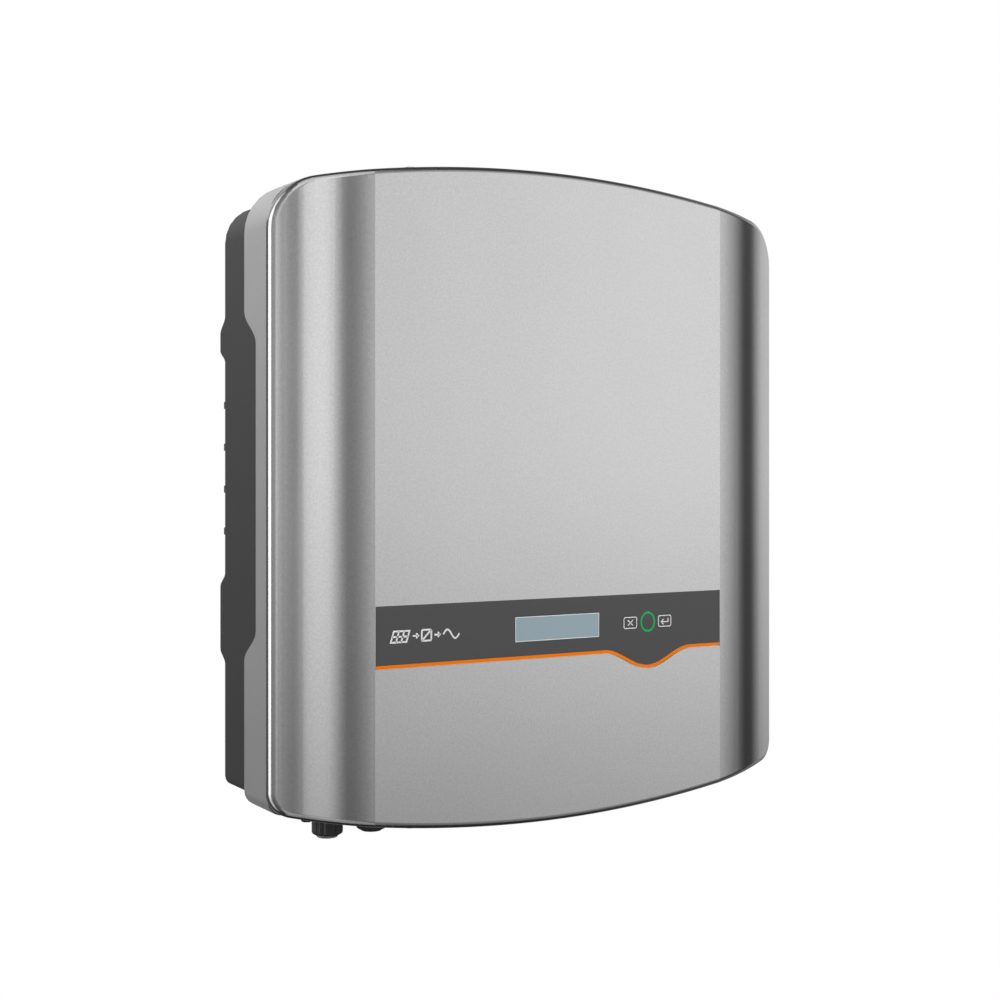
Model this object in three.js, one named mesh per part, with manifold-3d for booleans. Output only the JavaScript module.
// Wall-hung string inverter for a rooftop solar array, as an assembly of separate pieces.
// Millimetres. X to the right seen from the front, Y from the room towards the wall, Z up.
// The origin is on the wall plane, level with the middle of the front cover.
import * as THREE from 'three';
import { mergeVertices } from 'three/addons/utils/BufferGeometryUtils.js';
import Module from 'manifold-3d';

const wasm = await Module();
wasm.setup();

// ---------------------------------------------------------------- driving dimensions

const GAP = 0.3; // assembly gap between pieces that touch
const CUT = 5; // how far a cutting tool runs past the faces that it opens

// front cover
const COVER_HALF_WIDTH = 180;
const CROWN = 195; // half the cover's height, on the centre line
const ARCH_DROP = 20.1; // how far the arched edge has fallen at COVER_HALF_WIDTH
const TOP_CORNER_RADIUS = 30;
const BOTTOM_CORNER_RADIUS = 14;
const FRONT_Y = -133;
const COVER_REAR_Y = -111.4;
const COVER_WALL = 2.5;
const FLAT_HALF_WIDTH = 123.3; // the flat panel ends here and the curved flanks start
const FLANK_START_ANGLE = THREE.MathUtils.degToRad(4);
const FLANK_END_ANGLE = THREE.MathUtils.degToRad(28.6);
const SEAL_FLANGE = 12;
const COVER_SCREW_LENGTH = 20;

// middle housing, the painted frame behind the cover
const HOUSING_HALF_WIDTH = 177.5;
const HOUSING_CROWN = 195.7;
const HOUSING_TOP_RADIUS = 30;
const HOUSING_BOTTOM_RADIUS = 9;
const HOUSING_FRONT_Y = -107.4;
const HOUSING_REAR_Y = -73;
const HOUSING_WALL = 3;
const NOTCH_Y = -90.3; // rear edge of the housing between the two sweeps
const NOTCH_TOP = [107, 88]; // the upper sweep starts and ends at these heights
const NOTCH_BOTTOM = [-76, -94];

// dark rear body
const BODY_HALF_WIDTH = 165;
const BODY_TOP = 178.7;
const BODY_BOTTOM = -177.8;
const BODY_TOP_RADIUS = 24;
const BODY_BOTTOM_RADIUS = 6;
const PANEL_WALL = 2.7;
const PANEL_WRAP = 138; // the side panels wrap over the casting as far in as this
const PANEL_RETURN = 150; // inner edge of the side panels' rear return wall
const PANEL_REAR_Y = -10.5;
const LOBE_Y = -2.5;
const UPPER_LOBE = [110, 100, 89.5, 82]; // top, top of the crest, bottom of the crest, bottom
const LOWER_LOBE = [-47.4, -56.2, -94.6, -103];
const GRIP_RIB_HEIGHTS = [55.7, 29.9, 4.1, -21.7];
const GRIP_RIB_SIZE = { height: 4.4, depth: 3.4 };

// chassis and heatsink
const CHASSIS_INSET = PANEL_WALL + GAP;
const CHASSIS_HALF_WIDTH = BODY_HALF_WIDTH - CHASSIS_INSET;
const CHASSIS_TOP = BODY_TOP - CHASSIS_INSET;
const CHASSIS_BOTTOM = BODY_BOTTOM + CHASSIS_INSET;
const CHASSIS_WALL = 3;
const CHASSIS_FRONT_Y = HOUSING_FRONT_Y + HOUSING_WALL + GAP;
const CHASSIS_REAR_Y = -45;
const CHASSIS_BACK_WALL = 4;
const HEATSINK_FRONT_Y = CHASSIS_REAR_Y + 1.2;
const HEATSINK_BASE = 6;
const HEATSINK_HALF_WIDTH = 144;
const HEATSINK_HALF_HEIGHT = 168;
const FIN_END_Y = -12;
const FIN_THICKNESS = 2.4;
const FIN_COUNT = 25;
const WINDOW = { halfWidth: 92, bottom: -5, top: 105 }; // opening for the power modules

// display stripe on the flat panel
const STRIPE_TOP = -61;
const STRIPE_LINE = -95.5; // centre of the accent line
const ACCENT_HEIGHT = 2;
const DIP_CENTRE = 66;
const DIP_HALF_WIDTH = 33;
const DIP_DEPTH = 10.8;
const STRIPE_RECESS = 0.8;
const OVERLAY_FACE_Y = FRONT_Y + 0.05;
const OVERLAY_THICKNESS = 0.45;
const DISPLAY_Z = -78.7;
const LCD = { x: -0.8, width: 61.2, height: 15.9 };
const KEY = { width: 11, height: 8.1, radius: 1.6, depth: 3.4 };
const ESC_X = 52.6;
const ENTER_X = 79;
const STATUS = { x: 66.1, radius: 6.4, band: 0.95 };

// wall bracket and hanger
const BRACKET = { halfWidth: 130, bottom: -25, top: 100, sheet: 2.5 };
const HOOK = { x: 80, halfWidth: 28, lipTop: 112, lipFront: -8, lipBack: -5.5 };
const WALL_SLOT = { x: 105, heights: [62, -8], width: 16, height: 7 };
const HANGER = { halfWidth: 125, top: 150, sheet: 2.4, legFront: -5.2, legBack: -2.9 };

// underside
const PORT_Y = -63; // row of the array connectors
const PV_START_X = -120.4;
const PV_PITCH = 29.4;
const PV_COUNT = 4;
const BIG_PORT_Y = -73; // row of the larger ports
const BAY = { halfWidth: 148, frontY: -97, topZ: -174 }; // recess for the ports in the housing
const SWITCH_X = 10;
const COMM_X = 55;
const AC_X = 110;
const VENT_X = 78;
const GROUND_X = -133.7;
const STEM_TOP = -160; // the stems of the ports end here, inside the chassis
const PV = {
  stem: 6, flange: 8.6, flangeBottom: -178, neck: 7.4, collar: 9.5, collarTop: -184, bottom: -202.2, bore: 5,
};
const DUST_CAP = { plug: 4.6, plugTop: -191, head: 6.6 };
const AC = {
  stem: 12.9, flangeWidth: 42, flange: 3.2, barrel: 15, bottom: -192,
  ring: 19.6, ringBore: 15.4, ringTop: -179, ringBottom: -196,
  plug: 14.9, capHead: 17.4, capHeadTop: -196.4, capBottom: -198.4,
};
const COMM = {
  stem: 6.9, flange: 13.4, flangeBottom: -177.6, barrel: 8.5, bottom: -195.5,
  cap: 12.4, capHollow: 9, capTop: -179, capBottom: -199,
};
const SWITCH_HOLE = 4.3;
const SWITCH = {
  collar: 19, collarTop: -177.4, collarBottom: -184, gripWidth: 10, gripLength: 35.2, gripBottom: -201,
  shaft: 4, shaftBottom: -191, seal: 17, bodyTop: -118, bodyBottom: -170,
};
const VENT = { stem: 3.9, cap: 7.5, bottom: -180 };
const GROUND = { stud: 2.1, nut: 3.9, nutBottom: -176, head: 3.6, headTop: -186.6, headBottom: -193.6 };

// main circuit board
const BOARD = { left: -148, right: 148, bottom: -108, top: 160, front: -63.6, rear: -62 };

// ---------------------------------------------------------------- materials

function paint(color, roughness, metalness) {
  return new THREE.MeshStandardMaterial({ color, roughness, metalness });
}

const silverPaint = paint(0xbfc0c2, 0.4, 0.6);
const greyPaint = paint(0x9d9fa0, 0.55, 0.1);
const darkPlastic = paint(0x4a4b4d, 0.6, 0);
const castAluminium = paint(0x55575a, 0.5, 0.5);
const rubber = paint(0x18181a, 0.8, 0);
const overlayFilm = paint(0x4e4e51, 0.45, 0);
const orangeFilm = paint(0xff7d00, 0.4, 0);
const lcdGlass = paint(0xa4b6bf, 0.15, 0);
const greenLight = paint(0x0aa858, 0.3, 0);
const blackPlastic = paint(0x151517, 0.5, 0);
const zincSteel = paint(0xb4b6b8, 0.35, 0.9);
const blackSteel = paint(0x2b2b2d, 0.45, 0.7);
const circuitBoard = paint(0x1f5a35, 0.5, 0);
const greyResin = paint(0x6b6d70, 0.7, 0);
const copper = paint(0xb87333, 0.35, 0.9);
const capacitorSleeve = paint(0x20304a, 0.4, 0);
const whitePlastic = paint(0xd9dad6, 0.5, 0);
const greyPlastic = paint(0xb9bab8, 0.5, 0);

// ---------------------------------------------------------------- solids

function solid(geometry) {
  const bare = geometry.clone();
  bare.deleteAttribute('normal');
  bare.deleteAttribute('uv');
  const merged = mergeVertices(bare, 1e-4);
  return new wasm.Manifold(new wasm.Mesh({
    numProp: 3,
    vertProperties: new Float32Array(merged.attributes.position.array),
    triVerts: new Uint32Array(merged.index.array),
  }));
}

function geometryOf(body) {
  const mesh = body.getMesh();
  const geometry = new THREE.BufferGeometry();
  geometry.setAttribute('position', new THREE.BufferAttribute(mesh.vertProperties, 3));
  geometry.setIndex(new THREE.BufferAttribute(mesh.triVerts, 1));
  geometry.computeVertexNormals();
  return geometry;
}

function extrude(points, depth) {
  const shape = new THREE.Shape(points);
  return new THREE.ExtrudeGeometry(shape, { depth, bevelEnabled: false });
}

// An outline in X and Z, made solid from frontY to rearY.
function alongY(points, frontY, rearY) {
  const geometry = extrude(points, rearY - frontY);
  geometry.rotateX(Math.PI / 2);
  geometry.translate(0, rearY, 0);
  return solid(geometry);
}

// An outline in Y and Z, made solid from leftX to rightX.
function alongX(points, leftX, rightX) {
  const geometry = extrude(points, rightX - leftX);
  const turn = new THREE.Matrix4().set(0, 0, 1, 0, 1, 0, 0, 0, 0, 1, 0, 0, 0, 0, 0, 1);
  geometry.applyMatrix4(turn);
  geometry.translate(leftX, 0, 0);
  return solid(geometry);
}

// An outline in X and Y, made solid from bottomZ to topZ.
function alongZ(points, bottomZ, topZ) {
  const geometry = extrude(points, topZ - bottomZ);
  geometry.translate(0, 0, bottomZ);
  return solid(geometry);
}

function block([x0, x1], [y0, y1], [z0, z1]) {
  const geometry = new THREE.BoxGeometry(x1 - x0, y1 - y0, z1 - z0);
  geometry.translate((x0 + x1) / 2, (y0 + y1) / 2, (z0 + z1) / 2);
  return solid(geometry);
}

function rodAlongZ(x, y, radius, bottomZ, topZ, sides = 24) {
  const geometry = new THREE.CylinderGeometry(radius, radius, topZ - bottomZ, sides);
  geometry.rotateX(Math.PI / 2);
  geometry.translate(x, y, (bottomZ + topZ) / 2);
  return solid(geometry);
}

function rodAlongY(x, z, radius, frontY, rearY, sides = 24) {
  const geometry = new THREE.CylinderGeometry(radius, radius, rearY - frontY, sides);
  geometry.translate(x, (frontY + rearY) / 2, z);
  return solid(geometry);
}

function join(bodies) {
  return bodies.reduce((whole, body) => whole.add(body));
}

function cutAll(body, tools) {
  return tools.reduce((rest, tool) => rest.subtract(tool), body);
}

// ---------------------------------------------------------------- outlines

function arc(centreX, centreY, radius, from, to, steps) {
  const points = [];
  for (let step = 0; step <= steps; step += 1) {
    const angle = from + (to - from) * step / steps;
    points.push(new THREE.Vector2(
      centreX + radius * Math.cos(angle),
      centreY + radius * Math.sin(angle),
    ));
  }
  return points;
}

function rectangle(left, right, bottom, top) {
  const corners = [[left, bottom], [right, bottom], [right, top], [left, top]];
  return corners.map(([x, y]) => new THREE.Vector2(x, y));
}

function roundedRectangle(left, right, bottom, top, radius, steps = 4) {
  const quarter = Math.PI / 2;
  return [
    ...arc(left + radius, bottom + radius, radius, 2 * quarter, 3 * quarter, steps),
    ...arc(right - radius, bottom + radius, radius, 3 * quarter, 4 * quarter, steps),
    ...arc(right - radius, top - radius, radius, 0, quarter, steps),
    ...arc(left + radius, top - radius, radius, quarter, 2 * quarter, steps),
  ];
}

// The straight-sided outline of the rear body: one radius above, another below.
function bodyOutline(halfWidth, bottom, top, topRadius, bottomRadius) {
  const quarter = Math.PI / 2;
  const low = halfWidth - bottomRadius;
  const high = halfWidth - topRadius;
  return [
    ...arc(-low, bottom + bottomRadius, bottomRadius, 2 * quarter, 3 * quarter, 4),
    ...arc(low, bottom + bottomRadius, bottomRadius, 3 * quarter, 4 * quarter, 4),
    ...arc(high, top - topRadius, topRadius, 0, quarter, 6),
    ...arc(-high, top - topRadius, topRadius, quarter, 2 * quarter, 6),
  ];
}

function archHeight(crown, x) {
  return crown - ARCH_DROP * (x / COVER_HALF_WIDTH) ** 2;
}

// The round corner between a vertical side and the arched edge, tangent to both.
function archCorner(halfWidth, crown, radius) {
  const centreX = halfWidth - radius;
  let lean = 0;
  for (let round = 0; round < 20; round += 1) {
    const touch = centreX + radius * Math.sin(lean);
    lean = Math.atan(2 * ARCH_DROP * touch / COVER_HALF_WIDTH ** 2);
  }
  const touchX = centreX + radius * Math.sin(lean);
  return { centreX, centreZ: archHeight(crown, touchX) - radius * Math.cos(lean), lean, touchX, radius };
}

// Outline in X and Z with straight sides, arched top and bottom edges, and round corners.
function archedOutline(halfWidth, crown, topRadius, bottomRadius) {
  const top = archCorner(halfWidth, crown, topRadius);
  const bottom = archCorner(halfWidth, crown, bottomRadius);
  const quarter = Math.PI / 2;
  const archSteps = 18;
  const points = [];
  points.push(...arc(top.centreX, top.centreZ, topRadius, 0, quarter - top.lean, 7));
  for (let step = 1; step < archSteps; step += 1) {
    const x = top.touchX * (1 - 2 * step / archSteps);
    points.push(new THREE.Vector2(x, archHeight(crown, x)));
  }
  points.push(...arc(-top.centreX, top.centreZ, topRadius, quarter + top.lean, 2 * quarter, 7));
  const left = 3 * quarter - bottom.lean;
  points.push(...arc(-bottom.centreX, -bottom.centreZ, bottomRadius, 2 * quarter, left, 5));
  for (let step = 1; step < archSteps; step += 1) {
    const x = bottom.touchX * (2 * step / archSteps - 1);
    points.push(new THREE.Vector2(x, -archHeight(crown, x)));
  }
  const right = 3 * quarter + bottom.lean;
  points.push(...arc(bottom.centreX, -bottom.centreZ, bottomRadius, right, 4 * quarter, 5));
  return points;
}

// How far the curved flank lies behind the flat panel, at a distance x from the centre line.
function flankDepth(x) {
  const startSine = Math.sin(FLANK_START_ANGLE);
  const radius = (COVER_HALF_WIDTH - FLAT_HALF_WIDTH) / (Math.sin(FLANK_END_ANGLE) - startSine);
  const sine = startSine + (x - FLAT_HALF_WIDTH) / radius;
  return radius * (Math.cos(FLANK_START_ANGLE) - Math.sqrt(1 - sine * sine));
}

// Plan of the cover in X and Y: flat panel, curved flanks, straight back at rearY.
function coverPlan(inset, rearY) {
  const steps = 7;
  const points = [];
  for (let step = 0; step <= steps; step += 1) {
    const x = FLAT_HALF_WIDTH + (COVER_HALF_WIDTH - FLAT_HALF_WIDTH) * step / steps;
    points.push(new THREE.Vector2(x, FRONT_Y + inset + flankDepth(x)));
  }
  points.push(new THREE.Vector2(COVER_HALF_WIDTH, rearY));
  const mirrored = points.map((point) => new THREE.Vector2(-point.x, point.y)).reverse();
  return [...mirrored, ...points];
}

// A smooth step from 0 at start to 1 at end.
function ease(value, start, end) {
  const share = THREE.MathUtils.clamp((value - start) / (end - start), 0, 1);
  return share * share * (3 - 2 * share);
}

// Side view of the housing, in Y and Z: its rear edge is swept forward between the two sweeps.
function housingSide(forward) {
  const points = [new THREE.Vector2(HOUSING_FRONT_Y - CUT, -CROWN - CUT)];
  points.push(new THREE.Vector2(HOUSING_REAR_Y - forward, -CROWN - CUT));
  const swing = NOTCH_Y - HOUSING_REAR_Y;
  const steps = 8;
  for (let step = 0; step <= steps; step += 1) {
    const z = NOTCH_BOTTOM[1] + (NOTCH_BOTTOM[0] - NOTCH_BOTTOM[1]) * step / steps;
    const share = ease(z, NOTCH_BOTTOM[1], NOTCH_BOTTOM[0]);
    points.push(new THREE.Vector2(HOUSING_REAR_Y - forward + swing * share, z));
  }
  for (let step = 0; step <= steps; step += 1) {
    const z = NOTCH_TOP[1] + (NOTCH_TOP[0] - NOTCH_TOP[1]) * step / steps;
    const share = 1 - ease(z, NOTCH_TOP[1], NOTCH_TOP[0]);
    points.push(new THREE.Vector2(HOUSING_REAR_Y - forward + swing * share, z));
  }
  points.push(new THREE.Vector2(HOUSING_REAR_Y - forward, CROWN + CUT));
  points.push(new THREE.Vector2(HOUSING_FRONT_Y - CUT, CROWN + CUT));
  return points;
}

// Side view of a side panel, in Y and Z: two lobes stand out of its rear edge.
function panelSide(forward) {
  const frontY = HOUSING_FRONT_Y - CUT;
  const rearY = PANEL_REAR_Y - forward;
  const lobeReach = LOBE_Y - PANEL_REAR_Y;
  const steps = 6;
  const points = [new THREE.Vector2(frontY, -CROWN), new THREE.Vector2(rearY, -CROWN)];
  for (const [top, crestTop, crestBottom, bottom] of [LOWER_LOBE, UPPER_LOBE]) {
    for (let step = 0; step <= steps; step += 1) {
      const z = bottom + (crestBottom - bottom) * step / steps;
      points.push(new THREE.Vector2(rearY + lobeReach * ease(z, bottom, crestBottom), z));
    }
    for (let step = 0; step <= steps; step += 1) {
      const z = crestTop + (top - crestTop) * step / steps;
      points.push(new THREE.Vector2(rearY + lobeReach * ease(z, top, crestTop), z));
    }
  }
  points.push(new THREE.Vector2(rearY, CROWN), new THREE.Vector2(frontY, CROWN));
  return points;
}

// Height of the accent line's centre: level, with one smooth dip under the keys.
function accentHeight(x) {
  const reach = Math.abs(x - DIP_CENTRE) / DIP_HALF_WIDTH;
  if (reach >= 1) {
    return STRIPE_LINE;
  }
  return STRIPE_LINE - DIP_DEPTH * 0.5 * (1 + Math.cos(Math.PI * reach));
}

// Points along the accent line, offset square to it, from left to right.
function accentEdge(offset, endX) {
  const steps = 24;
  const points = [new THREE.Vector2(-endX, STRIPE_LINE + offset)];
  for (let step = 0; step <= steps; step += 1) {
    const x = DIP_CENTRE + DIP_HALF_WIDTH * (2 * step / steps - 1);
    const slope = (accentHeight(x + 0.1) - accentHeight(x - 0.1)) / 0.2;
    const length = Math.hypot(1, slope);
    points.push(new THREE.Vector2(x - offset * slope / length, accentHeight(x) + offset / length));
  }
  points.push(new THREE.Vector2(endX, STRIPE_LINE + offset));
  return points;
}

// A round outline with straight-sided grip ribs round it.
function ribbedCircle(x, y, outerRadius, ribDepth, ribs) {
  const innerRadius = outerRadius - ribDepth;
  const turns = [[0, outerRadius], [0.5, outerRadius], [0.62, innerRadius], [0.88, innerRadius]];
  const points = [];
  for (let rib = 0; rib < ribs; rib += 1) {
    for (const [share, radius] of turns) {
      const angle = 2 * Math.PI * (rib + share) / ribs;
      points.push(new THREE.Vector2(x + radius * Math.cos(angle), y + radius * Math.sin(angle)));
    }
  }
  return points;
}

// ---------------------------------------------------------------- assembly

const inverter = new THREE.Group();

function add(name, body, material) {
  const mesh = new THREE.Mesh(geometryOf(body), material);
  mesh.name = name;
  inverter.add(mesh);
}

// ---------------------------------------------------------------- front cover

const COVER_SCREW = { x: 95, y: -121, seat: 1.6, head: 4, headHeight: 2.2, shank: 1.9 };

function coverShell(inset, rearY) {
  const outline = archedOutline(
    COVER_HALF_WIDTH - inset,
    CROWN - inset,
    TOP_CORNER_RADIUS - inset,
    BOTTOM_CORNER_RADIUS - inset,
  );
  const plan = coverPlan(inset, rearY);
  return alongY(outline, FRONT_Y - CUT, rearY).intersect(alongZ(plan, -CROWN - CUT, CROWN + CUT));
}

function displayOutline(clearance) {
  const end = FLAT_HALF_WIDTH - 0.6 + clearance;
  const high = STRIPE_TOP + clearance;
  const top = [new THREE.Vector2(end, high), new THREE.Vector2(-end, high)];
  return [...accentEdge(-ACCENT_HEIGHT / 2 - clearance, end), ...top];
}

function keyOutline(x, clearance) {
  const halfWidth = KEY.width / 2 + clearance;
  const halfHeight = KEY.height / 2 + clearance;
  return roundedRectangle(
    x - halfWidth, x + halfWidth, DISPLAY_Z - halfHeight, DISPLAY_Z + halfHeight, KEY.radius + clearance);
}

function lcdOutline(clearance) {
  const halfWidth = LCD.width / 2 + clearance;
  const halfHeight = LCD.height / 2 + clearance;
  return rectangle(
    LCD.x - halfWidth, LCD.x + halfWidth, DISPLAY_Z - halfHeight, DISPLAY_Z + halfHeight);
}

function frontCover() {
  const outer = coverShell(0, COVER_REAR_Y);
  const inner = coverShell(COVER_WALL, COVER_REAR_Y - COVER_WALL);
  const mouthOutline = archedOutline(
    COVER_HALF_WIDTH - SEAL_FLANGE,
    CROWN - SEAL_FLANGE,
    TOP_CORNER_RADIUS - SEAL_FLANGE / 2,
    BOTTOM_CORNER_RADIUS - SEAL_FLANGE / 2,
  );
  const mouth = alongY(mouthOutline, COVER_REAR_Y - COVER_WALL - 1, COVER_REAR_Y + CUT);
  const tools = [
    inner,
    mouth,
    alongY(displayOutline(GAP), FRONT_Y - CUT, FRONT_Y + STRIPE_RECESS),
    alongY(lcdOutline(GAP), FRONT_Y - CUT, FRONT_Y + CUT),
    alongY(keyOutline(ESC_X, GAP), FRONT_Y - CUT, FRONT_Y + CUT),
    alongY(keyOutline(ENTER_X, GAP), FRONT_Y - CUT, FRONT_Y + CUT),
    rodAlongY(STATUS.x, DISPLAY_Z, STATUS.radius + GAP, FRONT_Y - CUT, FRONT_Y + CUT),
  ];
  const seat = archHeight(CROWN, COVER_SCREW.x) - COVER_SCREW.seat;
  for (const side of [-1, 1]) {
    for (const end of [-1, 1]) {
      const x = side * COVER_SCREW.x;
      const holeLow = end > 0 ? CROWN - SEAL_FLANGE : -CROWN - CUT;
      const seatLow = end > 0 ? seat : -seat - CUT;
      const holeHigh = holeLow + SEAL_FLANGE + CUT;
      tools.push(rodAlongZ(x, COVER_SCREW.y, COVER_SCREW.shank + 0.5, holeLow, holeHigh, 16));
      tools.push(rodAlongZ(x, COVER_SCREW.y, COVER_SCREW.head + 0.7, seatLow, seatLow + CUT));
    }
  }
  return cutAll(outer, tools);
}

add('front_cover', frontCover(), silverPaint);

function coverScrew(side, end) {
  const seat = archHeight(CROWN, COVER_SCREW.x) - COVER_SCREW.seat + GAP;
  const x = side * COVER_SCREW.x;
  const overlap = 0.5;
  const headLow = end > 0 ? seat : -seat - COVER_SCREW.headHeight;
  const shankLow = end > 0 ? seat - COVER_SCREW_LENGTH : -seat - overlap;
  const head = rodAlongZ(x, COVER_SCREW.y, COVER_SCREW.head, headLow, headLow + COVER_SCREW.headHeight);
  const shank = rodAlongZ(
    x, COVER_SCREW.y, COVER_SCREW.shank, shankLow, shankLow + COVER_SCREW_LENGTH + overlap, 12);
  return head.add(shank);
}

let screwNumber = 1;
for (const end of [1, -1]) {
  for (const side of [-1, 1]) {
    add(`cover_screw_${screwNumber}`, coverScrew(side, end), zincSteel);
    screwNumber += 1;
  }
}

// ---------------------------------------------------------------- display stripe

function displayOverlay() {
  const end = FLAT_HALF_WIDTH - 0.6;
  const outline = [
    ...accentEdge(ACCENT_HEIGHT / 2 + GAP, end),
    new THREE.Vector2(end, STRIPE_TOP),
    new THREE.Vector2(-end, STRIPE_TOP),
  ];
  const rearY = OVERLAY_FACE_Y + OVERLAY_THICKNESS;
  return cutAll(alongY(outline, OVERLAY_FACE_Y, rearY), [
    alongY(lcdOutline(0), FRONT_Y - CUT, FRONT_Y + CUT),
    alongY(keyOutline(ESC_X, GAP), FRONT_Y - CUT, FRONT_Y + CUT),
    alongY(keyOutline(ENTER_X, GAP), FRONT_Y - CUT, FRONT_Y + CUT),
    rodAlongY(STATUS.x, DISPLAY_Z, STATUS.radius + GAP, FRONT_Y - CUT, FRONT_Y + CUT, 32),
  ]);
}

function accentStrip() {
  const end = FLAT_HALF_WIDTH - 0.6;
  const lower = accentEdge(-ACCENT_HEIGHT / 2, end);
  const upper = accentEdge(ACCENT_HEIGHT / 2, end).reverse();
  return alongY([...lower, ...upper], OVERLAY_FACE_Y, OVERLAY_FACE_Y + OVERLAY_THICKNESS);
}

add('display_overlay', displayOverlay(), overlayFilm);
add('accent_strip', accentStrip(), orangeFilm);
add('lcd_window', alongY(lcdOutline(-GAP), OVERLAY_FACE_Y, OVERLAY_FACE_Y + 1.2), lcdGlass);
add('lcd_panel', block(
  [LCD.x - LCD.width / 2 - 4, LCD.x + LCD.width / 2 + 4],
  [FRONT_Y + COVER_WALL + GAP, FRONT_Y + COVER_WALL + 3.4],
  [DISPLAY_Z - LCD.height / 2 - 4, DISPLAY_Z + LCD.height / 2 + 4],
), whitePlastic);

const statusRear = FRONT_Y + 4;
add('status_ring', rodAlongY(STATUS.x, DISPLAY_Z, STATUS.radius, OVERLAY_FACE_Y, statusRear, 32).subtract(
  rodAlongY(STATUS.x, DISPLAY_Z, STATUS.radius - STATUS.band, FRONT_Y - CUT, statusRear + CUT, 32),
), greenLight);
add('status_lens', rodAlongY(
  STATUS.x, DISPLAY_Z, STATUS.radius - STATUS.band - GAP, OVERLAY_FACE_Y, statusRear, 32,
), overlayFilm);
add('esc_key', alongY(keyOutline(ESC_X, 0), FRONT_Y, FRONT_Y + KEY.depth), overlayFilm);
add('enter_key', alongY(keyOutline(ENTER_X, 0), FRONT_Y, FRONT_Y + KEY.depth), overlayFilm);

// The display board carries the panel, a light source and the two key switches.
function displayBoard() {
  const face = FRONT_Y + COVER_WALL + 3.4 + GAP;
  const keySwitch = (x) => block([x - 3, x + 3], [face - 1.9, face + 0.2], [DISPLAY_Z - 3, DISPLAY_Z + 3]);
  return join([
    block([-44, 96], [face, face + 1.6], [DISPLAY_Z - 16, DISPLAY_Z + 16]),
    keySwitch(ESC_X),
    keySwitch(ENTER_X),
    block([STATUS.x - 2, STATUS.x + 2], [face - 1.2, face + 0.2], [DISPLAY_Z - 2, DISPLAY_Z + 2]),
  ]);
}

add('display_board', displayBoard(), circuitBoard);

// ---------------------------------------------------------------- seal between cover and housing

function coverGasket() {
  const frontY = COVER_REAR_Y + GAP;
  const rearY = HOUSING_FRONT_Y - GAP;
  const outer = archedOutline(COVER_HALF_WIDTH - 4.5, CROWN - 4.5, TOP_CORNER_RADIUS - 4, 8);
  const inner = archedOutline(COVER_HALF_WIDTH - 11, CROWN - 11, TOP_CORNER_RADIUS - 10, 6);
  return alongY(outer, frontY, rearY).subtract(alongY(inner, frontY - CUT, rearY + CUT));
}

add('cover_gasket', coverGasket(), rubber);

// ---------------------------------------------------------------- middle housing

function housingSolid(inset, frontY) {
  const outline = archedOutline(
    HOUSING_HALF_WIDTH - inset,
    HOUSING_CROWN - inset,
    HOUSING_TOP_RADIUS - inset,
    HOUSING_BOTTOM_RADIUS - inset,
  );
  const side = alongX(housingSide(inset), -COVER_HALF_WIDTH, COVER_HALF_WIDTH);
  return alongY(outline, frontY, HOUSING_REAR_Y).intersect(side);
}

function rearBody(inset, frontY, rearY) {
  const outline = bodyOutline(
    BODY_HALF_WIDTH - inset,
    BODY_BOTTOM + inset,
    BODY_TOP - inset,
    BODY_TOP_RADIUS - inset,
    BODY_BOTTOM_RADIUS - inset,
  );
  return alongY(outline, frontY, rearY);
}

const interiorHalfWidth = CHASSIS_HALF_WIDTH - CHASSIS_WALL;
const interiorTop = CHASSIS_TOP - CHASSIS_WALL;
const interiorBottom = CHASSIS_BOTTOM + CHASSIS_WALL;

// Lugs that reach into the cover, for the four cover screws.
function coverLug(side, end) {
  const top = archHeight(CROWN, COVER_SCREW.x) - SEAL_FLANGE - COVER_SCREW.seat;
  const x = side * COVER_SCREW.x;
  const heights = end > 0 ? [top - 12, top] : [-top, -top + 12];
  const lug = block([x - 7, x + 7], [COVER_SCREW.y - 6, HOUSING_FRONT_Y + 1], heights);
  const hole = rodAlongZ(x, COVER_SCREW.y, 2.2, heights[0] - CUT, heights[1] + CUT, 12);
  return lug.subtract(hole);
}

function middleHousing() {
  const flangeRear = HOUSING_FRONT_Y + HOUSING_WALL;
  const shell = cutAll(housingSolid(0, HOUSING_FRONT_Y), [
    housingSolid(HOUSING_WALL, flangeRear),
    rearBody(-GAP, flangeRear, HOUSING_REAR_Y + CUT),
    alongY(
      bodyOutline(interiorHalfWidth, interiorBottom, interiorTop, BODY_TOP_RADIUS - 6, 2.5),
      HOUSING_FRONT_Y - CUT,
      flangeRear + 1,
    ),
    block([-BAY.halfWidth, BAY.halfWidth], [BAY.frontY, 0], [-CROWN - CUT, BAY.topZ]),
  ]);
  const lugs = [];
  for (const side of [-1, 1]) {
    for (const end of [-1, 1]) {
      lugs.push(coverLug(side, end));
    }
  }
  return join([shell, ...lugs]);
}

add('middle_housing', middleHousing(), greyPaint);

// ---------------------------------------------------------------- side panels

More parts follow.
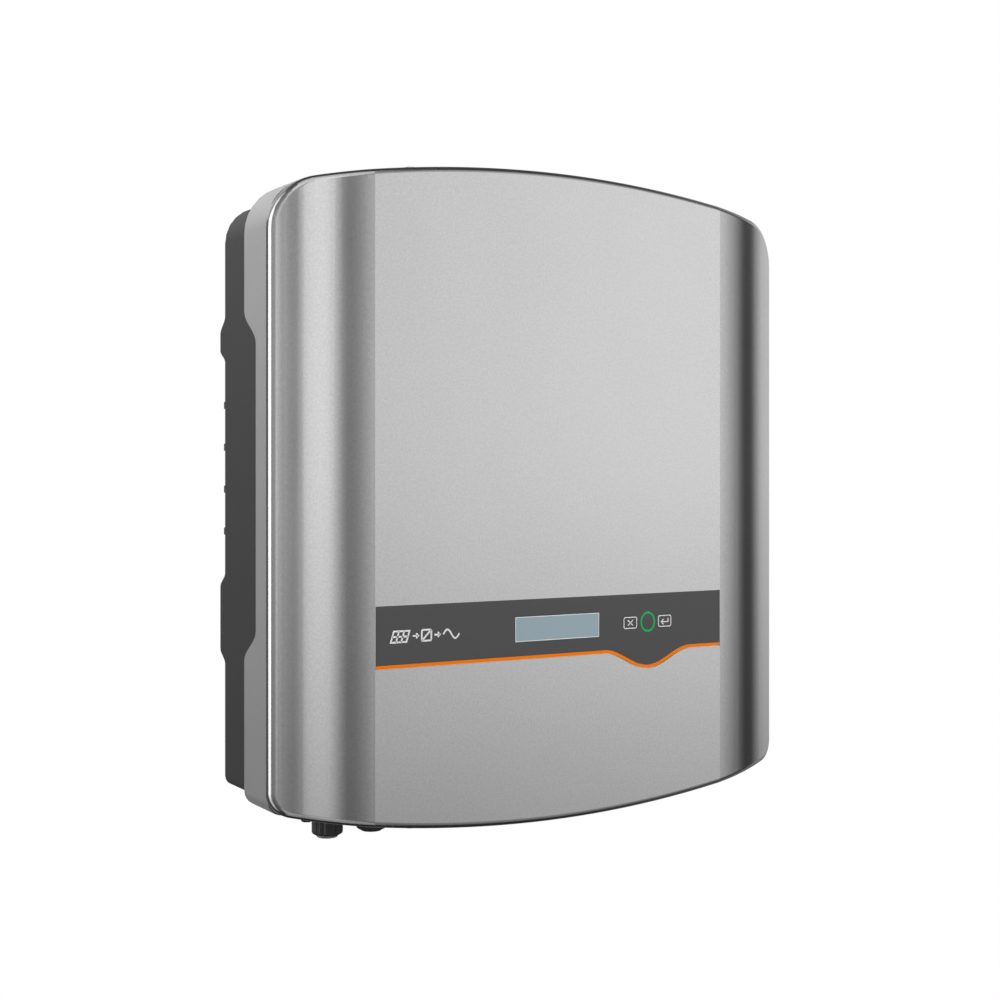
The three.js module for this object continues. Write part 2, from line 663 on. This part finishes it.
function sidePanel(side) {
  const frontY = CHASSIS_FRONT_Y;
  const onSide = (near, far) => (side > 0 ? [near, far] : [-far, -near]);
  const lobed = (inset) => alongX(panelSide(inset), -COVER_HALF_WIDTH, COVER_HALF_WIDTH);
  const wrap = block(onSide(PANEL_WRAP, BODY_HALF_WIDTH + 1), [frontY - CUT, CUT], [-CROWN, CROWN]);
  const outer = rearBody(0, frontY, CUT).intersect(lobed(0));
  const inner = rearBody(PANEL_WALL, frontY - CUT, CUT).intersect(lobed(PANEL_WALL));
  const rearOpening = block(
    onSide(0, PANEL_RETURN),
    [PANEL_REAR_Y - 2 * PANEL_WALL, CUT],
    [-CROWN, CROWN],
  );
  const ribs = GRIP_RIB_HEIGHTS.map((z) => block(
    onSide(PANEL_RETURN + 1, BODY_HALF_WIDTH - 0.6),
    [PANEL_REAR_Y - 1, PANEL_REAR_Y + GRIP_RIB_SIZE.depth],
    [z - GRIP_RIB_SIZE.height / 2, z + GRIP_RIB_SIZE.height / 2],
  ));
  return join([cutAll(outer, [inner, rearOpening]).intersect(wrap), ...ribs]);
}

add('left_side_panel', sidePanel(-1), darkPlastic);
add('right_side_panel', sidePanel(1), darkPlastic);

// ---------------------------------------------------------------- chassis

const STANDOFF_X = 140;
const STANDOFF_HEIGHTS = [150, 20, -98];
const STANDOFF_RADIUS = 4;

function chassis() {
  const outer = rearBody(CHASSIS_INSET, CHASSIS_FRONT_Y, CHASSIS_REAR_Y);
  const backInner = CHASSIS_REAR_Y - CHASSIS_BACK_WALL;
  const inner = alongY(
    bodyOutline(interiorHalfWidth, interiorBottom, interiorTop, BODY_TOP_RADIUS - 6, 2.5),
    CHASSIS_FRONT_Y - CUT,
    backInner,
  );
  const posts = [];
  for (const z of STANDOFF_HEIGHTS) {
    for (const x of [-STANDOFF_X, STANDOFF_X]) {
      posts.push(rodAlongY(x, z, STANDOFF_RADIUS, BOARD.rear + GAP, backInner + 1, 10));
    }
  }
  const hole = (x, y, stem, sides) => rodAlongZ(
    x, y, stem + GAP, CHASSIS_BOTTOM - CUT, interiorBottom + CUT, sides);
  const tools = [
    block(
      [-WINDOW.halfWidth, WINDOW.halfWidth],
      [backInner - CUT, CHASSIS_REAR_Y + CUT],
      [WINDOW.bottom, WINDOW.top],
    ),
    hole(SWITCH_X, BIG_PORT_Y, SWITCH_HOLE, 24),
    hole(COMM_X, BIG_PORT_Y, COMM.stem, 24),
    hole(AC_X, BIG_PORT_Y, AC.stem, 24),
    hole(VENT_X, PORT_Y, VENT.stem, 16),
    hole(GROUND_X, PORT_Y, GROUND.stud, 12),
  ];
  for (let index = 0; index < PV_COUNT; index += 1) {
    tools.push(hole(PV_START_X + PV_PITCH * index, PORT_Y, PV.stem, 24));
  }
  return cutAll(join([cutAll(outer, [inner]), ...posts]), tools);
}

add('chassis', chassis(), castAluminium);

// ---------------------------------------------------------------- heatsink

function heatsink() {
  const baseRear = HEATSINK_FRONT_Y + HEATSINK_BASE;
  const pieces = [block(
    [-HEATSINK_HALF_WIDTH, HEATSINK_HALF_WIDTH],
    [HEATSINK_FRONT_Y, baseRear],
    [-HEATSINK_HALF_HEIGHT, HEATSINK_HALF_HEIGHT],
  )];
  const pitch = (2 * HEATSINK_HALF_WIDTH - FIN_THICKNESS) / (FIN_COUNT - 1);
  for (let index = 0; index < FIN_COUNT; index += 1) {
    const left = -HEATSINK_HALF_WIDTH + pitch * index;
    pieces.push(block(
      [left, left + FIN_THICKNESS],
      [baseRear - 0.5, FIN_END_Y],
      [-HEATSINK_HALF_HEIGHT, HEATSINK_HALF_HEIGHT],
    ));
  }
  return join(pieces);
}

function heatsinkGasket() {
  const frontY = CHASSIS_REAR_Y + GAP;
  const rearY = HEATSINK_FRONT_Y - GAP;
  const frame = (grow) => rectangle(
    -WINDOW.halfWidth - grow, WINDOW.halfWidth + grow, WINDOW.bottom - grow, WINDOW.top + grow);
  return alongY(frame(8), frontY, rearY).subtract(alongY(frame(2), frontY - CUT, rearY + CUT));
}

add('heatsink', heatsink(), castAluminium);
add('heatsink_gasket', heatsinkGasket(), rubber);

// ---------------------------------------------------------------- hanging on the wall

function wallBracket() {
  const width = [-BRACKET.halfWidth, BRACKET.halfWidth];
  const plate = block(width, [-BRACKET.sheet, 0], [BRACKET.bottom, BRACKET.top]);
  const lowerFold = block(width, [HOOK.lipFront, 0], [BRACKET.bottom, BRACKET.bottom + BRACKET.sheet]);
  const hooks = [];
  for (const side of [-1, 1]) {
    const span = [side * HOOK.x - HOOK.halfWidth, side * HOOK.x + HOOK.halfWidth];
    hooks.push(block(span, [HOOK.lipFront, -1], [BRACKET.top - BRACKET.sheet, BRACKET.top]));
    hooks.push(block(span, [HOOK.lipFront, HOOK.lipBack], [BRACKET.top - 1, HOOK.lipTop]));
  }
  const slots = [];
  const { width: slotWidth, height: slotHeight } = WALL_SLOT;
  for (const x of [-WALL_SLOT.x, WALL_SLOT.x]) {
    for (const z of WALL_SLOT.heights) {
      const outline = roundedRectangle(
        x - slotWidth / 2, x + slotWidth / 2, z - slotHeight / 2, z + slotHeight / 2, slotHeight / 2 - 0.1);
      slots.push(alongY(outline, -CUT, CUT));
    }
  }
  return cutAll(join([plate, lowerFold, ...hooks]), slots);
}

function hangerRail() {
  const frontY = FIN_END_Y + GAP;
  const webBottom = HOOK.lipTop + GAP;
  const pieces = [block(
    [-HANGER.halfWidth, HANGER.halfWidth], [frontY, frontY + HANGER.sheet], [webBottom, HANGER.top])];
  for (const side of [-1, 1]) {
    const span = [side * HOOK.x - HOOK.halfWidth + 3, side * HOOK.x + HOOK.halfWidth - 3];
    pieces.push(block(span, [frontY, HANGER.legBack], [webBottom, webBottom + HANGER.sheet]));
    pieces.push(block(span, [HANGER.legFront, HANGER.legBack], [BRACKET.top + 1, webBottom + HANGER.sheet]));
  }
  return join(pieces);
}

add('wall_bracket', wallBracket(), zincSteel);
add('hanger_rail', hangerRail(), zincSteel);

// ---------------------------------------------------------------- array connectors

const wallOuter = CHASSIS_BOTTOM - GAP;

function arrayConnector(x) {
  return cutAll(join([
    rodAlongZ(x, PORT_Y, PV.stem - 0.1, wallOuter - 1, STEM_TOP, 16),
    rodAlongZ(x, PORT_Y, PV.flange, PV.flangeBottom, wallOuter, 6),
    rodAlongZ(x, PORT_Y, PV.neck, PV.collarTop - 1, PV.flangeBottom + 1, 20),
    alongZ(ribbedCircle(x, PORT_Y, PV.collar, 0.7, 14), PV.bottom, PV.collarTop),
  ]), [rodAlongZ(x, PORT_Y, PV.bore, PV.bottom - CUT, DUST_CAP.plugTop + 1, 16)]);
}

// The caps of the two polarities differ in how thick their heads are.
function dustCap(x, head) {
  const headTop = PV.bottom - GAP;
  return join([
    rodAlongZ(x, PORT_Y, DUST_CAP.plug, headTop - 0.5, DUST_CAP.plugTop, 16),
    rodAlongZ(x, PORT_Y, DUST_CAP.head, headTop - head, headTop, 20),
  ]);
}

for (let index = 0; index < PV_COUNT; index += 1) {
  const x = PV_START_X + PV_PITCH * index;
  add(`dc_connector_${index + 1}`, arrayConnector(x), blackPlastic);
  const positive = index % 2 === 0;
  add(`dc_dust_cap_${index + 1}`, dustCap(x, positive ? 1.7 : 1), positive ? greyPlastic : rubber);
}

// ---------------------------------------------------------------- other parts of the underside

function acSocket() {
  const half = AC.flangeWidth / 2;
  const flange = roundedRectangle(AC_X - half, AC_X + half, BIG_PORT_Y - half, BIG_PORT_Y + half, 6);
  return join([
    rodAlongZ(AC_X, BIG_PORT_Y, AC.stem - 0.1, wallOuter - 1, STEM_TOP),
    alongZ(flange, wallOuter - AC.flange, wallOuter),
    rodAlongZ(AC_X, BIG_PORT_Y, AC.barrel, AC.bottom, wallOuter - AC.flange + 0.2, 28),
  ]);
}

function acCouplingRing() {
  const outer = alongZ(ribbedCircle(AC_X, BIG_PORT_Y, AC.ring, 1, 16), AC.ringBottom, AC.ringTop);
  return outer.subtract(rodAlongZ(AC_X, BIG_PORT_Y, AC.ringBore, AC.ringBottom - CUT, AC.ringTop + CUT, 32));
}

add('ac_socket', acSocket(), blackPlastic);
add('ac_coupling_ring', acCouplingRing(), blackPlastic);
add('ac_cap', join([
  rodAlongZ(AC_X, BIG_PORT_Y, AC.plug, AC.capHeadTop - 0.6, AC.bottom - GAP, 28),
  rodAlongZ(AC_X, BIG_PORT_Y, AC.capHead, AC.capBottom, AC.capHeadTop, 28),
]), rubber);

function commCap() {
  const outer = alongZ(ribbedCircle(COMM_X, BIG_PORT_Y, COMM.cap, 0.8, 16), COMM.capBottom, COMM.capTop);
  return outer.subtract(rodAlongZ(
    COMM_X, BIG_PORT_Y, COMM.capHollow, COMM.capBottom + 2, COMM.capTop + CUT, 24));
}

add('comm_socket', join([
  rodAlongZ(COMM_X, BIG_PORT_Y, COMM.stem, wallOuter - 1, STEM_TOP, 20),
  rodAlongZ(COMM_X, BIG_PORT_Y, COMM.flange, COMM.flangeBottom, wallOuter, 24),
  rodAlongZ(COMM_X, BIG_PORT_Y, COMM.barrel, COMM.bottom, COMM.flangeBottom + 0.6, 24),
]), blackPlastic);
add('comm_cap', commCap(), blackPlastic);

// The knob's bore takes the shaft of the switch body.
function switchKnob() {
  const collar = alongZ(
    ribbedCircle(SWITCH_X, BIG_PORT_Y, SWITCH.collar, 0.8, 18), SWITCH.collarBottom, SWITCH.collarTop);
  const halfWidth = SWITCH.gripWidth / 2;
  const halfLength = SWITCH.gripLength / 2;
  const gripOutline = roundedRectangle(
    SWITCH_X - halfWidth, SWITCH_X + halfWidth, BIG_PORT_Y - halfLength, BIG_PORT_Y + halfLength, 4);
  const grip = alongZ(gripOutline, SWITCH.gripBottom, SWITCH.collarBottom + 1);
  const bore = rodAlongZ(
    SWITCH_X, BIG_PORT_Y, SWITCH.shaft + GAP, SWITCH.shaftBottom - 1, SWITCH.collarTop + CUT, 16);
  return collar.add(grip).subtract(bore);
}

function switchSeal() {
  const seal = rodAlongZ(SWITCH_X, BIG_PORT_Y, SWITCH.seal, SWITCH.collarTop + 0.4, wallOuter, 28);
  return seal.subtract(rodAlongZ(
    SWITCH_X, BIG_PORT_Y, SWITCH_HOLE + GAP, SWITCH.collarBottom, wallOuter + CUT, 16));
}

add('dc_switch_knob', switchKnob(), blackPlastic);
add('dc_switch_seal', switchSeal(), rubber);
add('dc_switch_body', join([
  block(
    [SWITCH_X - 23, SWITCH_X + 23],
    [BIG_PORT_Y - 23, BIG_PORT_Y + 19],
    [SWITCH.bodyBottom, SWITCH.bodyTop],
  ),
  rodAlongZ(SWITCH_X, BIG_PORT_Y, SWITCH.shaft, SWITCH.shaftBottom, SWITCH.bodyBottom + 1, 16),
]), greyResin);
add('vent_valve', join([
  rodAlongZ(VENT_X, PORT_Y, VENT.stem, wallOuter - 1, CHASSIS_BOTTOM + CHASSIS_WALL + CUT, 16),
  alongZ(ribbedCircle(VENT_X, PORT_Y, VENT.cap, 0.6, 10), VENT.bottom, wallOuter),
]), blackPlastic);
add('ground_terminal', join([
  rodAlongZ(GROUND_X, PORT_Y, GROUND.stud, GROUND.headTop - 1, CHASSIS_BOTTOM + CHASSIS_WALL + CUT, 12),
  rodAlongZ(GROUND_X, PORT_Y, GROUND.nut, GROUND.nutBottom, wallOuter, 16),
  rodAlongZ(GROUND_X, PORT_Y, GROUND.head, GROUND.headBottom, GROUND.headTop, 6),
]), blackSteel);

// ---------------------------------------------------------------- electronics

const boardFace = BOARD.front - GAP; // parts on the main board stand out from here towards the room
const PAD = { halfWidth: 84, thickness: 0.8, bottom: 10, top: 92 };
const MODULE = { x: 44, halfWidth: 36, thickness: 11, bottom: 16, top: 86 };
const CAPACITOR = { x: -116, z: 134, pitch: 36, radius: 15, length: 40, count: 4 };
const INDUCTOR = { x: 112, heights: [84, 22], halfWidth: 28, halfHeight: 26, depth: 40 };
const CHOKE = { x: 50, z: -62, radius: 15, winding: 8 };
const RELAYS = { places: [96, 128], halfWidth: 12, depth: 22, bottom: -90, top: -58 };
const SENSOR = { x: 96, halfWidth: 12, depth: 20, bottom: -44, top: -28, bore: 5 };
const CONTROL = {
  halfWidth: 60, bottom: 0, top: 96, rear: -108.6, thickness: 1.6, legX: 52, legHeights: [8, 88],
};

add('main_board', block(
  [BOARD.left, BOARD.right], [BOARD.front, BOARD.rear], [BOARD.bottom, BOARD.top]), circuitBoard);

const padRear = HEATSINK_FRONT_Y - GAP;
const padFront = padRear - PAD.thickness;
add('thermal_pad', block(
  [-PAD.halfWidth, PAD.halfWidth], [padFront, padRear], [PAD.bottom, PAD.top]), greyResin);
for (const [index, x] of [-MODULE.x, MODULE.x].entries()) {
  const rear = padFront - GAP;
  add(`power_module_${index + 1}`, block(
    [x - MODULE.halfWidth, x + MODULE.halfWidth],
    [rear - MODULE.thickness, rear],
    [MODULE.bottom, MODULE.top],
  ), blackPlastic);
}

for (let index = 0; index < CAPACITOR.count; index += 1) {
  const x = CAPACITOR.x + CAPACITOR.pitch * index;
  const can = rodAlongY(x, CAPACITOR.z, CAPACITOR.radius, boardFace - CAPACITOR.length, boardFace);
  add(`dc_link_capacitor_${index + 1}`, can, capacitorSleeve);
}

// A potted inductor: a resin block whose middle stands 2 mm out at both ends.
function inductor(x, z) {
  const slab = (shrink, frontY, rearY) => alongY(roundedRectangle(
    x - INDUCTOR.halfWidth + shrink,
    x + INDUCTOR.halfWidth - shrink,
    z - INDUCTOR.halfHeight + shrink,
    z + INDUCTOR.halfHeight - shrink,
    6 - shrink / 2,
  ), frontY, rearY);
  const front = boardFace - INDUCTOR.depth;
  return slab(0, front + 2, boardFace - 2).add(slab(4, front, boardFace));
}

for (const [index, z] of INDUCTOR.heights.entries()) {
  add(`boost_inductor_${index + 1}`, inductor(-INDUCTOR.x, z), greyResin);
  add(`filter_inductor_${index + 1}`, inductor(INDUCTOR.x, z), greyResin);
}

function emiChoke() {
  const profile = arc(CHOKE.radius, 0, CHOKE.winding, 0, 2 * Math.PI, 12);
  const ring = new THREE.LatheGeometry(profile, 24);
  ring.translate(CHOKE.x, boardFace - CHOKE.winding - 1, CHOKE.z);
  return solid(ring);
}

function currentSensor() {
  const body = block(
    [SENSOR.x - SENSOR.halfWidth, SENSOR.x + SENSOR.halfWidth],
    [boardFace - SENSOR.depth, boardFace],
    [SENSOR.bottom, SENSOR.top],
  );
  const bore = rodAlongZ(
    SENSOR.x, boardFace - SENSOR.depth / 2 - 1, SENSOR.bore, SENSOR.bottom - CUT, SENSOR.top + CUT, 16);
  return body.subtract(bore);
}

add('emi_choke', emiChoke(), copper);
for (const [index, x] of RELAYS.places.entries()) {
  add(`grid_relay_${index + 1}`, block(
    [x - RELAYS.halfWidth, x + RELAYS.halfWidth],
    [boardFace - RELAYS.depth, boardFace],
    [RELAYS.bottom, RELAYS.top],
  ), blackPlastic);
}
add('current_sensor', currentSensor(), blackPlastic);

// The control board stands on four legs in front of the main board.
function controlBoard() {
  const pieces = [block(
    [-CONTROL.halfWidth, CONTROL.halfWidth],
    [CONTROL.rear - CONTROL.thickness, CONTROL.rear],
    [CONTROL.bottom, CONTROL.top],
  )];
  for (const x of [-CONTROL.legX, CONTROL.legX]) {
    for (const z of CONTROL.legHeights) {
      pieces.push(rodAlongY(x, z, 3, CONTROL.rear - 1, boardFace, 8));
    }
  }
  return join(pieces);
}

add('control_board', controlBoard(), circuitBoard);

// Flat cable from the display board up to the control board, in one loose bend.
function ribbonCable() {
  const path = new THREE.CatmullRomCurve3([
    new THREE.Vector3(0, -123.6, -70),
    new THREE.Vector3(0, -121, -56),
    new THREE.Vector3(0, -116, -34),
    new THREE.Vector3(0, -112.6, -12),
    new THREE.Vector3(0, -112, 6),
    new THREE.Vector3(0, -112, 18),
  ]);
  const section = new THREE.Shape(rectangle(-12, 12, -0.5, 0.5));
  const geometry = new THREE.ExtrudeGeometry(section, { steps: 14, extrudePath: path, bevelEnabled: false });
  return solid(geometry);
}

add('ribbon_cable', ribbonCable(), whitePlastic);

export default inverter;
